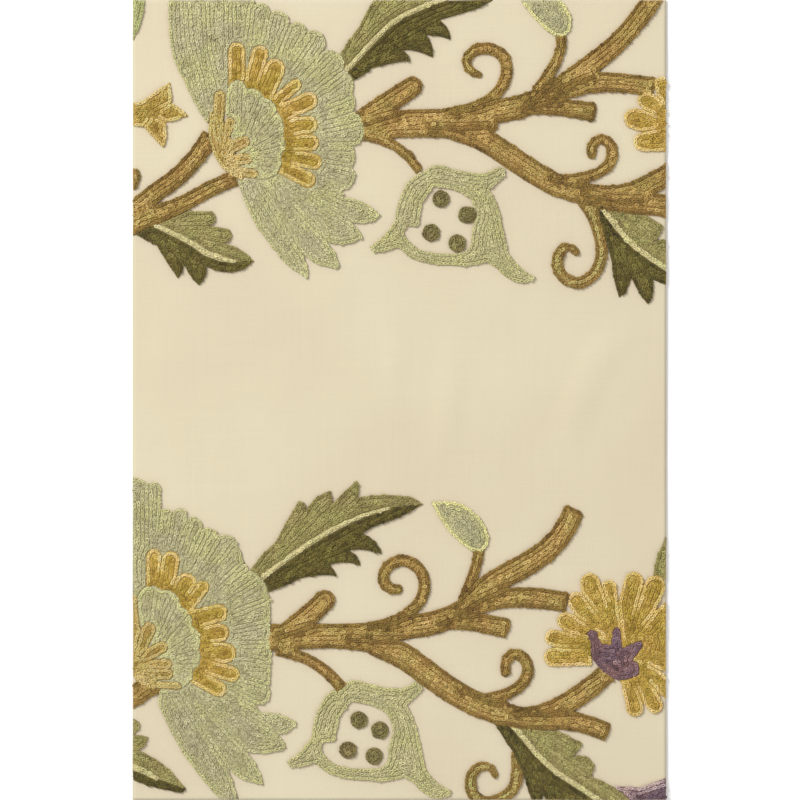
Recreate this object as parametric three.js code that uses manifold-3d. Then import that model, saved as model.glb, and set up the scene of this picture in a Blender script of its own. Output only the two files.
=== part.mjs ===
// A cut length of crewel embroidered cotton: wool motifs worked on a plain ground cloth.
// Millimetres, +Z up, origin under the middle of the cloth, +Y towards its top edge.
import * as THREE from 'three';
import { mergeVertices } from 'three/addons/utils/BufferGeometryUtils.js';
import Module from 'manifold-3d';

const wasm = await Module();
wasm.setup();

// Driving dimensions
const CLOTH_WIDTH = 320;
const CLOTH_LENGTH = 480;
const CLOTH_THICKNESS = 1.2;
const STITCH_RELIEF = 1.5;
const GAP = 0.3;
// The cloth's mesh is fine only where it is creased, in mm: from, to, cells
const CLOTH_COLUMNS = [[-160, -16, 4], [-16, 152, 18], [152, 160, 1]];
const CLOTH_ROWS = [[-240, -52, 5], [-52, 62, 12], [62, 240, 5]];
const BODY_BASE = CLOTH_THICKNESS + GAP;

// Motifs are placed in pixels of the photograph, x to the right and y downwards
const MM_PER_PIXEL = 0.6;
const CENTRE_PIXEL = { x: 399.5, y: 400 };

// The lower repeat of the pattern lies this many pixels from the upper one
const REPEAT_PIXELS = { x: -83, y: 515 };

// How far the ends of stubs bow out, as a share of a half circle
const STUB_ENDS = { stub_round: 1, arm_stub: 0.4, arm_to_top: 0.3, arm_end: 0.25 };

// How finely curves are cut
const ARC_STEP = 5.5;
const CAP_STEPS = 5;
const CURL_STEP = 4;

const COLOUR = {
  cotton: 0xe4d8bc,
  branch: 0x9a7b45,
  fan: 0xb3b88a,
  dome: 0xa3b090,
  gold: 0xb08c3e,
  cream: 0xd6bb84,
  leafLight: 0x8c8c5c,
  leafDark: 0x5c5628,
  rib: 0xcdc896,
  pod: 0xb4b98c,
  seed: 0x5f5a3a,
  yellow: 0xab963f,
  purple: 0x77606f,
  green: 0x7f9150,
};

// Soft raised creases in the bare middle: the line in pixels, the height and half width in mm
const CREASES = [
  { line: [[638, 322], [592, 374], [562, 462]], height: 1.0, half: 16 },
  { line: [[456, 310], [450, 400], [434, 478]], height: 0.6, half: 13 },
  { line: [[399, 304], [395, 360], [396, 412]], height: 0.4, half: 12 },
];

// Ribbons, each row x, y, width in pixels
const BRANCHES = {
  trunk: [
    [346, 128, 28], [380, 126, 28], [410, 123.5, 29], [450, 124, 30], [482, 125, 34], [490, 125.5, 21],
    [498, 126, 8],
  ],
  stub_round: [[364, 119, 22], [388, 103, 23], [404, 92, 22], [412, 87, 22]],
  drop_twig: [[360, 134, 12], [385, 141, 11], [403, 151, 11], [413, 162, 11], [419.5, 171, 9]],
  upper_arm: [[440, 121, 24], [482, 113, 25], [512, 109, 25], [536, 101, 24], [562, 86, 22]],
  arm_stub: [[530, 106, 18], [556, 107, 18], [578, 110, 19], [593, 112, 20]],
  arm_to_flower: [[550, 96, 20], [578, 86, 20], [605, 82, 21], [630, 84, 20], [654, 87, 19]],
  arm_to_top: [[554, 92, 22], [589, 66, 22], [613.5, 46.5, 21], [633, 25.5, 20.5], [649, 4, 21], [656, -9, 21]],
  bud_stem: [[536, 92, 12], [549, 74, 12], [557, 61, 12], [561, 48, 11], [561, 30, 11]],
  lower_arm: [[450, 127, 24], [482, 139, 24], [505, 153, 24], [530, 170, 24], [556, 185, 24], [590, 195, 23]],
  flower_arm: [
    [572, 190, 20], [606, 196, 22], [632, 192, 21], [652, 183, 22], [672, 172, 22], [688, 158, 20],
  ],
  arm_end: [[580, 196, 18], [612, 202, 19], [642, 204, 21], [664, 205.5, 24], [690, 214, 24]],
};
const TENDRILS = {
  top_curl: [
    [452, 113, 12], [474, 107, 12], [491, 98, 12], [503, 85, 13], [507, 70, 13], [504, 58, 13],
    [494, 50, 13], [481, 48.5, 13], [470, 54, 12], [466, 63, 11], [471, 71, 10], [479, 75, 8],
  ],
  inner_curl: [
    [556, 181, 12], [580, 178, 12], [598, 173, 12], [609, 164, 13], [612.5, 152, 13],
    [608, 142, 12], [599, 139, 12], [592.5, 145, 12], [591.5, 154, 11],
  ],
  long_curl: [
    [586.5, 199, 21], [594.5, 216, 17], [600, 234, 15], [601.5, 250, 13], [599, 265, 13], [590, 278, 13],
    [576, 283, 13], [563, 277, 13], [557, 264, 13], [560, 252, 12], [568, 246, 10], [576, 252, 9],
  ],
};
// Pieces of the lower repeat that the hand placed a little off the repeat
const LOWER_BY_HAND = {
  trunk: [[262, 638, 28], [300, 636.5, 26], [340, 636, 26], [370, 637.5, 30], [400, 639, 32]],
  stub_round: [[283, 634, 20], [303, 620, 22], [317, 608, 22], [325, 600, 22]],
  top_curl: [
    [369, 628, 12], [391, 622, 12], [408, 613, 12], [420.5, 600, 13], [424.5, 585, 13], [421, 571.5, 13],
    [412, 563, 13], [399, 560.5, 13], [387.5, 567, 13], [383, 577, 13], [386.5, 586, 13], [394, 589.5, 12],
    [398, 589.5, 11],
  ],
  drop_twig: [[276, 650, 12], [297, 655, 12], [315, 663, 12], [330, 675, 13], [342, 688, 12]],
  arm_stub: [[445, 621, 18], [465, 621, 19], [487, 624, 20], [506, 628, 21]],
  arm_to_flower: [[468, 607, 20], [495, 600, 20], [520, 597, 21], [545, 599, 22], [567, 602, 20]],
  arm_to_top: [
    [469, 602, 22], [495, 581, 24], [520, 568, 25], [545, 552, 24], [562, 534, 23], [574, 511, 22],
  ],
  bud_stem: [[461, 608, 12], [467, 590, 12], [475, 570, 12], [479, 553, 11], [480, 545, 11]],
  lower_arm: [
    [372, 643, 24], [400, 654, 27], [425, 671.5, 26], [448, 688, 26], [472, 702, 26], [505, 714, 26],
  ],
  flower_arm: [
    [490, 706, 22], [520, 717, 21], [545, 713, 21], [567, 703, 22], [587, 690, 22], [609, 671, 20],
  ],
  arm_end: [[497, 714, 20], [530, 719, 21], [560, 720, 20], [583, 723, 20], [607, 732, 20]],
  inner_curl: [
    [474, 700, 12], [496, 696.5, 12], [513.5, 690.5, 13], [524.5, 680.5, 13], [528, 668, 13],
    [523, 657, 13], [513, 654, 13], [506, 661, 12], [505.5, 672, 11],
  ],
  long_curl: [
    [517, 752, 11], [517, 762, 13], [517, 775, 13], [513, 789, 13], [500, 799, 13], [485, 802, 13],
    [474, 796, 13], [470.5, 783, 13], [473, 772, 12], [482, 766, 11], [491, 768, 9], [495, 775, 8],
  ],
};
const LEFT_STEMS = {
  stem_high: [
    [118, 219, 21], [140, 205, 20], [157, 191.5, 20], [178, 176.5, 20], [197, 156, 19], [211, 135, 19],
  ],
  stem_low: [
    [118, 231, 22], [145, 219, 20], [168, 210, 18], [190, 200, 17], [212, 188, 17], [236, 178, 16],
  ],
};
const LOWER_LEFT_STEM = { stem_end: [[120, 702, 24], [138, 693, 24], [160, 688, 9], [172, 687, 5]] };

// Outlines, each row x, y, bulge: the bulge bows the side that ends there outwards,
// as a share of its length, when the outline is followed clockwise in the photograph
const UPPER_FAN = [
  [206, 122, 0], [183, 80, 0.03], [170, 46, 0.05], [168, 10, 0.02], [172, -40, 0], [236, -20, 0],
  [251, 10, 0.35], [271, 12, 0.45], [290, 24, 0.3], [308, 31, 0.3], [324, 50, 0.4], [344, 70, 0.3],
  [353, 94, 0.2], [354, 112, 0.12], [363, 124, 0.2], [354, 147, 0.25], [353, 168, 0.1], [343, 191, 0.3],
  [344, 197, 0], [382, 216, 0.1], [352, 223, 0.14], [363, 238, 0.1], [327, 242, 0.14], [340, 269, 0.1],
  [303, 255, 0.1], [309, 279, 0.08], [284, 263, 0.05], [256, 227, 0.01], [238, 183, 0.03],
  [246, 160, 0], [222, 128, 0],
];
const LOWER_FAN = [
  [120, 640, 0], [120, 478, 0], [149, 483, 0.12], [162, 488, 0.3], [161, 509, 0], [173, 511, 0.12],
  [188, 517, 0.42], [203, 528, 0.3], [219, 536, 0.25], [238, 545, 0.3], [243, 560, 0.1], [249, 570, 0.1],
  [268, 592, 0.15],
  [270, 620, 0.08], [269, 640, 0.08], [271, 668, 0.08], [270, 686, 0.05], [257, 706, 0.3],
  [261, 712, 0], [298, 723, 0.1], [279, 735, 0.12], [287, 748, 0.08], [247, 752, 0.1], [264, 785, 0.08],
  [228, 769, 0.1], [240, 808, 0.04], [228, 808, 0], [188, 761, 0.02], [158, 704, 0.03],
  [160, 684, 0], [150, 640, 0],
];
const UPPER_DOME = [
  [224, 104, 0], [228, 90, 0], [247, 89, 0.5], [264, 98, 0.2], [277, 112, 0.2], [283, 134, 0.15],
  [281, 156, 0.15], [258, 179, 0.3], [244, 172, 0], [232, 140, 0],
];
const LOWER_DOME = [
  [128, 640, 0], [140, 592, 0.05], [162, 590, 0.25], [180, 606, 0.25], [192, 626, 0.2], [199, 649, 0.2],
  [193, 671, 0.2], [176, 688, 0.25], [160, 684, 0], [146, 650, 0],
];

// Gold petals, each row from base to the middle of the round tip, and the width, in pixels
const UPPER_GOLD = [
  [237, 86, 237, 51, 17], [250, 93, 260, 54, 17], [263, 96, 275, 69, 21], [273, 104, 296, 85, 12],
  [278, 115, 309, 101, 18], [282, 127, 309, 125, 18], [282, 143, 311, 143, 17], [280, 154, 314, 162, 16],
  [276, 163, 308, 180, 16],
];
const LOWER_GOLD = [
  [154, 592, 154, 556, 15], [164, 596, 171, 560, 18], [172, 600, 186, 584, 23], [184, 612, 203, 587, 13],
  [192, 619, 219, 613, 18], [196, 633, 220, 633, 19], [198, 652, 226, 653, 21], [196, 664, 232, 674, 16],
  [190, 673, 219, 689, 16],
];

// Bands along the dome that the gold petals grow from
const UPPER_GOLD_BAND = [
  [232, 92, 8], [250, 92, 8], [266, 100, 8], [280, 116, 8], [284, 135, 8], [281, 155, 8], [272, 170, 8],
];
const LOWER_GOLD_BAND = [
  [146, 592, 8], [164, 594, 8], [182, 608, 8], [194, 628, 8], [200, 648, 8], [196, 668, 8], [184, 682, 8],
];

// Calyx of the fan: its body as a ribbon, and small petals as rows like the gold ones
const UPPER_CALYX = {
  body: [[215, 112, 10], [218, 132, 20], [224, 152, 21], [231, 166, 17], [240, 174, 11]],
  petals: [
    [218, 126, 220, 96, 11], [222, 140, 230, 123, 11], [226, 150, 244, 142, 12],
    [228, 160, 247, 159, 11], [234, 171, 254, 174, 9],
  ],
};
const LOWER_CALYX = {
  body: [[131, 596, 12], [132, 620, 14], [136, 650, 22], [144, 672, 24], [152, 684, 10]],
  petals: [
    [138, 652, 149, 629, 14], [146, 656, 162, 647, 12], [148, 665, 167, 664, 11],
    [148, 675, 168, 674, 11], [152, 684, 178, 686, 7],
  ],
};

// Leaves: pale rib as a ribbon, then the two sides from the stalk round to the tip
const LEAVES = {
  leaf_low_left: {
    rib: [[150, 223, 4], [170, 232, 5], [190, 242, 5], [208, 254, 6], [222, 259, 5], [236, 262, 3]],
    light: [[146, 214, 0], [212, 211, 0.02], [209, 226, 0.4], [230, 229, 0.03], [223, 243, 0.4],
      [254, 261, 0.1]],
    dark: [[132, 232, 0], [156, 245, 0.04], [178, 279, 0.02], [184, 264, 0.12], [199, 286, 0.08],
      [207, 267, 0.14], [244, 270, 0.12], [254, 261, 0.05]],
  },
  leaf_top: {
    rib: [[340, 77, 4], [356, 60, 5], [374, 40, 5], [396, 20, 5], [420, 8, 5], [446, -2, 5], [470, -8, 4]],
    light: [[333, 70, 0], [337, 60, 0.02], [359, 26, 0.03], [383, -14, 0.03], [500, -20, 0]],
    dark: [[346, 82, 0], [356, 80, 0.05], [372, 69, 0.03], [411, 61, -0.02], [403, 50, 0.1], [433, 58, -0.05],
      [426, 35, 0.14], [451, 40, -0.02], [440, 20, 0.14], [476, 10, 0], [500, -4, 0]],
  },
  leaf_right_upper: {
    rib: [[597, 202, 4], [614, 224, 5], [634, 246, 5], [658, 263, 5], [684, 280, 5], [712, 300, 4]],
    light: [[607, 198, 0], [664, 226, 0.03], [655, 241, 0.1], [678, 251, 0.25], [674, 261, 0.05],
      [700, 274, 0.04], [740, 318, 0.06]],
    dark: [[598, 206, 0], [605, 236, 0.02], [611, 262, 0], [619, 298, 0.04], [631, 277, 0.14],
      [648, 305, 0.06], [653, 280, 0.12], [668, 286, 0.03], [700, 330, 0.1], [740, 318, 0.1]],
  },
  leaf_right_lower: {
    rib: [[503, 718, 4], [518, 731, 5], [536, 753, 5], [555, 771, 5], [578, 786, 5], [610, 808, 5]],
    light: [[516, 716, 0], [583, 743, 0.03], [572, 757, 0.1], [595, 766, 0.25], [591, 776, 0.05],
      [617, 789, 0.04], [640, 812, 0.03]],
    dark: [[494, 722, 0], [513, 752, 0.03], [523, 772, 0], [531, 800, 0.02], [537, 812, 0.04],
      [543, 794, 0.1], [560, 822, 0.06], [640, 830, 0], [640, 812, 0]],
  },
  leaf_middle: {
    rib: [[252, 586, 4], [272, 570, 5], [298, 551, 5], [328, 532, 5], [362, 516, 4], [390, 508, 3]],
    light: [[248, 580, 0], [250, 570, 0], [276, 541, 0.04], [299, 500, 0.02], [306, 510, 0.3],
      [331, 490, 0.12], [333, 503, 0.05], [357, 480, 0.02], [358, 497, 0.15], [400, 495, 0.04],
      [423, 504, 0.1]],
    dark: [[258, 592, 0], [270, 592, 0.05], [300, 579, 0.03], [337, 576, -0.04], [330, 565, 0.1],
      [361, 566, -0.08], [349, 550, 0.14], [382, 554, -0.04], [362, 533, 0.14], [399, 518, -0.02],
      [423, 504, 0.03]],
  },
  leaf_corner: {
    rib: [[118, 762, 7], [140, 769, 6], [158, 779, 4]],
    light: [[118, 716, 0], [140, 722, 0.1], [134, 735, 0.2], [149, 737, 0.1], [139, 750, 0.15],
      [186, 789, 0.08]],
    dark: [[118, 772, 0], [152, 787, 0.04], [178, 792, 0.03], [186, 789, 0.3]],
  },
};

const BUD = [[514, -13, 0], [572, 18, 0.2], [565, 37, 0.15], [555, 37, 0], [514, -13, 0.08]];
const POD = [
  [369, 247, 0], [394, 222, -0.06], [406, 184, 0.06], [425, 170, 0.06], [443, 165, 0.12], [484, 173, -0.05],
  [499, 166, -0.06], [502, 180, 0.4], [490, 190, 0], [503, 226, 0.06], [509, 254, 0], [536, 277, -0.06],
  [524, 284, 0.1], [496, 268, 0.12], [486, 263, 0], [452, 266, 0.06], [411, 259, 0.05], [399, 248, 0.05],
  [374, 254, 0.03],
];
const POD_OPENING = [
  [434, 188, 0], [469, 199, 0.08], [475, 218, 0.05], [470, 243, -0.05], [462, 252, 0.2], [428, 251, 0.04],
  [407, 237, 0.12], [407, 228, 0.2], [419, 227, 0], [423, 204, 0],
];
const UPPER_SEEDS = [{ x: 441, y: 199 }, { x: 467, y: 215 }, { x: 431, y: 233 }, { x: 457, y: 243 }];
const LOWER_SEEDS = [{ x: 359, y: 720 }, { x: 380, y: 730 }, { x: 348, y: 750 }, { x: 374, y: 756 }];
const SEED_RADIUS_PIXELS = 9.3;

// Yellow flowers: petals as rows like the gold ones, and the heart of the one that is not cut off
const YELLOW_HEART = { x: 624, y: 650, radius: 24 };
const UPPER_YELLOW = [
  [672, 142, 643, 142, 20], [668, 126, 634, 119, 22], [670, 112, 646, 101, 18], [670, 110, 661, 84, 15],
];
const LOWER_YELLOW = [
  [592, 656, 553, 657, 20], [596, 648, 554, 638, 18], [600, 642, 566, 621, 19], [604, 640, 577, 601, 20],
  [607, 644, 590, 583, 21], [611, 644, 609, 588, 17], [618, 642, 634, 581, 20], [630, 640, 655, 586, 22],
  [636, 642, 672, 612, 24], [640, 652, 674, 640, 20], [634, 662, 674, 662, 18], [640, 668, 670, 690, 20],
  [636, 672, 655, 705, 18], [628, 672, 635, 708, 18],
];
const PURPLE_CALYX = [
  [586, 634, 0], [597, 632, 0.3], [602, 644, -0.1], [611, 645, 0], [613, 629, 0], [620, 630, 0.4],
  [622, 648, 0], [636, 642, 0], [643, 646, 0.4], [632, 660, 0], [639, 668, 0.2], [634, 677, 0.25],
  [618, 680, 0.05], [600, 669, 0.08], [591, 655, 0.08], [591, 642, 0],
];

// Small pieces that the cut edges leave
const STAR_BUD = [
  [118, 106, 0], [142, 101, 0], [157, 90, 0], [170, 82, 0.02], [172, 103, 0.04], [189, 116, 0.06],
  [166, 123, 0.03], [166, 145, 0.04], [160, 146, 0.4], [144, 128, 0], [118, 124, 0],
];
const EDGE_PIECES = [
  {
    name: 'leaf_top_corner', colour: 'green', under: [],
    outline: [[118, -14, 0], [145, -14, 0], [143, 16, 0.05], [130, 44, 0.08], [118, 50, 0]],
  },
  {
    name: 'leaf_right_edge', colour: 'leafLight', under: ['yellow_flower_lower'],
    outline: [[653, 580, 0], [654, 566, 0], [660, 548, 0.04], [671, 528, 0], [680, 580, 0]],
  },
  {
    name: 'twig_left_edge', colour: 'branch', under: [],
    outline: [[118, 165, 0], [134, 168, 0.1], [141, 176, 0.2], [136, 189, 0.1], [118, 196, 0]],
  },
  {
    name: 'flower_bottom_corner', colour: 'purple', under: ['leaf_right_lower_light'],
    outline: [[622, 808, 0], [617, 786, 0], [640, 787, 0.02], [676, 774, 0], [676, 812, 0]],
  },
];

// From a place in the photograph to a point on the cloth
function place(x, y) {
  return new THREE.Vector2((x - CENTRE_PIXEL.x) * MM_PER_PIXEL, (CENTRE_PIXEL.y - y) * MM_PER_PIXEL);
}

// A table moved on by whole repeats
function moved(rows, shift) {
  return rows.map(([x, y, ...rest]) => [x + shift.x, y + shift.y, ...rest]);
}

// Points of the circular arc from a to b, without a; a positive bulge bows it to the outside
function arc(a, b, bulge) {
  const chord = b.clone().sub(a);
  const length = chord.length();
  if (Math.abs(bulge) < 0.015 || length < 1) return [b];
  const outward = new THREE.Vector2(-chord.y, chord.x).divideScalar(length);
  const radius = length * (bulge * bulge + 0.25) / (2 * Math.abs(bulge));
  const sagitta = bulge * length;
  const half = 2 * Math.atan(2 * Math.abs(bulge));
  const toCentre = sagitta - Math.sign(bulge) * radius;
  const centre = a.clone().add(b).multiplyScalar(0.5).addScaledVector(outward, toCentre);
  const steps = Math.max(2, Math.min(7, Math.ceil(2 * half * radius / ARC_STEP)));
  const from = a.clone().sub(centre);
  const points = [];
  for (let i = 1; i <= steps; i += 1) {
    const turn = -Math.sign(bulge) * 2 * half * i / steps;
    points.push(from.clone().rotateAround(new THREE.Vector2(), turn).add(centre));
  }
  return points;
}

// An outline from rows of x, y, bulge
function outlineOf(rows) {
  const corners = rows.map(([x, y]) => place(x, y));
  const points = [];
  corners.forEach((corner, i) => {
    const before = corners[(i + corners.length - 1) % corners.length];
    points.push(...arc(before, corner, rows[i][2]));
  });
  return withoutDoubles(points);
}

function withoutDoubles(points) {
  return points.filter((p, i) => p.distanceTo(points[(i + points.length - 1) % points.length]) > 0.05);
}

// A band of changing width along a smooth line, square at its start and bowed out at its end
function ribbonOf(rows, { step = 5, endBow = 1 } = {}) {
  const line = new THREE.CatmullRomCurve3(
    rows.map(([x, y, width]) => new THREE.Vector3(...place(x, y).toArray(), width * MM_PER_PIXEL)),
    false, 'centripetal',
  );
  const count = Math.max(2, Math.round(line.getLength() / step));
  const left = [];
  const right = [];
  for (let i = 0; i <= count; i += 1) {
    const t = i / count;
    const at = line.getPointAt(t);
    const tangent = line.getTangentAt(t);
    const across = new THREE.Vector2(-tangent.y, tangent.x).normalize();
    const centre = new THREE.Vector2(at.x, at.y);
    left.push(centre.clone().addScaledVector(across, at.z / 2));
    right.push(centre.clone().addScaledVector(across, -at.z / 2));
  }
  const end = endBow > 0 ? cap(left[count], right[count], endBow) : [];
  return withoutDoubles([...left, ...end, ...right.reverse()]);
}

// Half circle from a to b, without its ends, flattened to a share of its depth
function cap(a, b, bow) {
  const centre = a.clone().add(b).multiplyScalar(0.5);
  const across = a.clone().sub(centre);
  const onward = new THREE.Vector2(across.y, -across.x).multiplyScalar(bow);
  const points = [];
  for (let i = 1; i < CAP_STEPS; i += 1) {
    const turn = Math.PI * i / CAP_STEPS;
    const point = centre.clone().addScaledVector(across, Math.cos(turn));
    points.push(point.addScaledVector(onward, Math.sin(turn)));
  }
  return points;
}

function petalOf([x0, y0, x1, y1, width]) {
  return ribbonOf([[x0, y0, width], [x1, y1, width]], { step: 40 });
}

function discOf(x, y, radiusPixels, sides = 14) {
  const centre = place(x, y);
  const radius = radiusPixels * MM_PER_PIXEL;
  return new THREE.EllipseCurve(centre.x, centre.y, radius, radius).getPoints(sides).slice(0, sides);
}

// A closed mesh as a solid that can be joined and cut
function solidFrom(geometry) {
  const bare = geometry.index ? geometry.toNonIndexed() : geometry.clone();
  bare.deleteAttribute('normal');
  bare.deleteAttribute('uv');
  const merged = mergeVertices(bare, 1e-3);
  return new wasm.Manifold(new wasm.Mesh({
    numProp: 3,
    vertProperties: new Float32Array(merged.attributes.position.array),
    triVerts: new Uint32Array(merged.index.array),
  }));
}

// An outline raised from the height low to the height high
function raised(outline, low = BODY_BASE, high = BODY_BASE + STITCH_RELIEF) {
  const shape = new THREE.Shape(outline);
  const geometry = new THREE.ExtrudeGeometry(shape, { depth: high - low, bevelEnabled: false });
  geometry.translate(0, 0, low);
  return solidFrom(geometry);
}

// The same outline a gap wider all round, over the full height, to cut neighbours with
function cutter(outline) {
  const clockwise = THREE.ShapeUtils.isClockWise(outline);
  const wider = outline.map((point, i) => {
    const before = outline[(i + outline.length - 1) % outline.length];
    const after = outline[(i + 1) % outline.length];
    const along = after.clone().sub(point).normalize().add(point.clone().sub(before).normalize()).normalize();
    const outward = clockwise ? new THREE.Vector2(-along.y, along.x) : new THREE.Vector2(along.y, -along.x);
    return point.clone().addScaledVector(outward, GAP);
  });
  return raised(wider, BODY_BASE - 1, BODY_BASE + STITCH_RELIEF + 1);
}

const join = (solids) => solids.reduce((sum, solid) => sum.add(solid));

// Triangles of the largest piece, without the crumbs that a cut leaves between neighbours
function largestPiece(triangles) {
  const leader = new Map();
  const find = (vertex) => {
    let top = vertex;
    while (leader.has(top)) top = leader.get(top);
    return top;
  };
  const corners = (i) => [triangles[3 * i], triangles[3 * i + 1], triangles[3 * i + 2]];
  const count = triangles.length / 3;
  for (let i = 0; i < count; i += 1) {
    const [first, ...others] = corners(i);
    others.forEach((other) => {
      const [from, to] = [find(other), find(first)];
      if (from !== to) leader.set(from, to);
    });
  }
  const pieces = new Map();
  for (let i = 0; i < count; i += 1) {
    const top = find(triangles[3 * i]);
    pieces.set(top, [...(pieces.get(top) ?? []), ...corners(i)]);
  }
  return [...pieces.values()].sort((a, b) => b.length - a.length)[0];
}

const clothBlock = solidFrom(new THREE.BoxGeometry(CLOTH_WIDTH, CLOTH_LENGTH, 40));
const model = new THREE.Group();
const worked = {};

function addNode(name, solid, colour) {
  const mesh = solid.getMesh();
  const geometry = new THREE.BufferGeometry();
  geometry.setAttribute('position', new THREE.BufferAttribute(mesh.vertProperties, 3));
  geometry.setIndex(largestPiece(mesh.triVerts));
  geometry.computeVertexNormals();
  const material = new THREE.MeshStandardMaterial({ color: COLOUR[colour], roughness: 0.95, metalness: 0 });
  const node = new THREE.Mesh(geometry, material);
  node.name = name;
  model.add(node);
}

// A motif from its outlines, cut at the cloth's edge and kept a gap from the motifs it lies under
function work(name, outlines, colour, { under = [], openings = [] } = {}) {
  let solid = join(outlines.map((outline) => raised(outline))).intersect(clothBlock);
  openings.forEach((opening) => {
    solid = solid.subtract(cutter(opening));
  });
  under.forEach((above) => {
    worked[above].forEach((outline) => {
      solid = solid.subtract(cutter(outline));
    });
  });
  worked[name] = outlines;
  addNode(name, solid, colour);
}

// Height of the creases at a place on the cloth: highest at the middle of each line, soft to its ends
const creaseLines = CREASES.map(({ line }) => {
  const curve = new THREE.SplineCurve(line.map(([x, y]) => place(x, y)));
  return curve.getPoints(24);
});

function creaseHeight(x, y) {
  const here = new THREE.Vector2(x, y);
  return CREASES.reduce((height, crease, i) => {
    const line = creaseLines[i];
    const distances = line.map((point) => point.distanceTo(here));
    const nearest = distances.indexOf(Math.min(...distances));
    const across = Math.min(1, distances[nearest] / crease.half);
    const along = Math.sin(Math.PI * nearest / (line.length - 1));
    return height + crease.height * along * Math.cos(across * Math.PI / 2) ** 2;
  }, 0);
}

// Grid lines from bands of from, to, cells
function gridLines(bands) {
  const lines = bands.flatMap(([from, to, cells]) => (
    Array.from({ length: cells }, (_, i) => from + (to - from) * i / cells)
  ));
  return [...lines, bands[bands.length - 1][1]];
}

// The ground cloth: one thin sheet that lifts along its creases
function groundCloth() {
  const columns = gridLines(CLOTH_COLUMNS);
  const rows = gridLines(CLOTH_ROWS);
  const cells = { x: columns.length - 1, y: rows.length - 1 };
  const sheet = new THREE.BoxGeometry(cells.x, cells.y, CLOTH_THICKNESS, cells.x, cells.y, 1);
  sheet.translate(cells.x / 2, cells.y / 2, CLOTH_THICKNESS / 2);
  const position = sheet.attributes.position;
  for (let i = 0; i < position.count; i += 1) {
    const x = columns[Math.round(position.getX(i))];
    const y = rows[Math.round(position.getY(i))];
    position.setXYZ(i, x, y, position.getZ(i) + creaseHeight(x, y));
  }
  return solidFrom(sheet);
}

addNode('ground_cloth', groundCloth(), 'cotton');

// The two repeats, each with its own fan flower, as the hand varied them
const REPEATS = [
  {
    tag: 'upper', shift: { x: 0, y: 0 }, byHand: {}, seeds: UPPER_SEEDS,
    fan: UPPER_FAN, dome: UPPER_DOME, gold: UPPER_GOLD, goldBand: UPPER_GOLD_BAND, calyx: UPPER_CALYX,
  },
  {
    tag: 'lower', shift: REPEAT_PIXELS, byHand: LOWER_BY_HAND, seeds: LOWER_SEEDS,
    fan: LOWER_FAN, dome: LOWER_DOME, gold: LOWER_GOLD, goldBand: LOWER_GOLD_BAND, calyx: LOWER_CALYX,
  },
];

function workLeaf(name, leaf, under) {
  const ribLine = leaf.rib.map(([x, y]) => [x, y, 0]).reverse();
  work(`${name}_rib`, [ribbonOf(leaf.rib, { step: 9, endBow: 0 })], 'rib', { under });
  const sides = { light: 'leafLight', dark: 'leafDark' };
  Object.entries(sides).forEach(([side, colour]) => {
    const rows = [...leaf[side], ...ribLine];
    const clockwise = side === 'light' ? rows : rows.map(([x, y, bulge]) => [x, y, -bulge]);
    work(`${name}_${side}`, [outlineOf(clockwise)], colour, { under: [...under, `${name}_rib`] });
  });
}

REPEATS.forEach(({ tag, shift, byHand, seeds, fan, dome, gold, goldBand, calyx }) => {
  const rowsOf = (table, key) => byHand[key] ?? moved(table[key], shift);
  work(`calyx_${tag}`, [ribbonOf(calyx.body), ...calyx.petals.map(petalOf)], 'cream');
  work(`dome_${tag}`, [outlineOf(dome)], 'dome', { under: [`calyx_${tag}`] });
  work(`gold_petals_${tag}`, [ribbonOf(goldBand), ...gold.map(petalOf)], 'gold',
    { under: [`calyx_${tag}`, `dome_${tag}`] });
  work(`fan_${tag}`, [outlineOf(fan)], 'fan',
    { under: [`calyx_${tag}`, `dome_${tag}`, `gold_petals_${tag}`] });

  const flowerTops = [`fan_${tag}`, `bud_${tag}`, `yellow_flower_${tag}`];
  if (tag === 'lower') {
    const heart = discOf(YELLOW_HEART.x, YELLOW_HEART.y, YELLOW_HEART.radius);
    work('purple_calyx', [outlineOf(PURPLE_CALYX)], 'purple');
    work('yellow_flower_lower', [heart, ...LOWER_YELLOW.map(petalOf)], 'yellow', { under: ['purple_calyx'] });
    flowerTops.push('purple_calyx');
  } else {
    work('yellow_flower_upper', UPPER_YELLOW.map(petalOf), 'yellow');
  }
  work(`bud_${tag}`, [outlineOf(moved(BUD, shift))], 'fan');

  const branches = Object.keys(BRANCHES).map((key) => (
    ribbonOf(rowsOf(BRANCHES, key), { step: 10, endBow: STUB_ENDS[key] ?? 0 })
  ));
  const curls = ['top_curl', 'inner_curl'].map((key) => (
    ribbonOf(rowsOf(TENDRILS, key), { step: CURL_STEP })
  ));
  work(`branches_${tag}`, [...branches, ...curls], 'branch', { under: flowerTops });

  const seedNames = seeds.map(({ x, y }, i) => {
    const name = `seed_${tag}_${i + 1}`;
    work(name, [discOf(x, y, SEED_RADIUS_PIXELS)], 'seed');
    return name;
  });
  work(`pod_${tag}`, [outlineOf(moved(POD, shift))], 'pod',
    { under: [`branches_${tag}`, ...seedNames], openings: [outlineOf(moved(POD_OPENING, shift))] });

  workLeaf(`leaf_right_${tag}`, LEAVES[`leaf_right_${tag}`], [`branches_${tag}`]);
  const longCurl = ribbonOf(rowsOf(TENDRILS, 'long_curl'), { step: CURL_STEP });
  work(`long_curl_${tag}`, [longCurl], 'branch',
    { under: [`branches_${tag}`, `leaf_right_${tag}_dark`, `leaf_right_${tag}_rib`] });
});

const stems = Object.values(LEFT_STEMS).map((rows) => ribbonOf(rows, { step: 8, endBow: 0 }));
work('left_stems_upper', stems, 'branch', { under: ['calyx_upper', 'fan_upper'] });
const stemEnd = ribbonOf(LOWER_LEFT_STEM.stem_end, { step: 8, endBow: 0 });
work('left_stem_lower', [stemEnd], 'branch', { under: ['calyx_lower', 'fan_lower'] });

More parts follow.
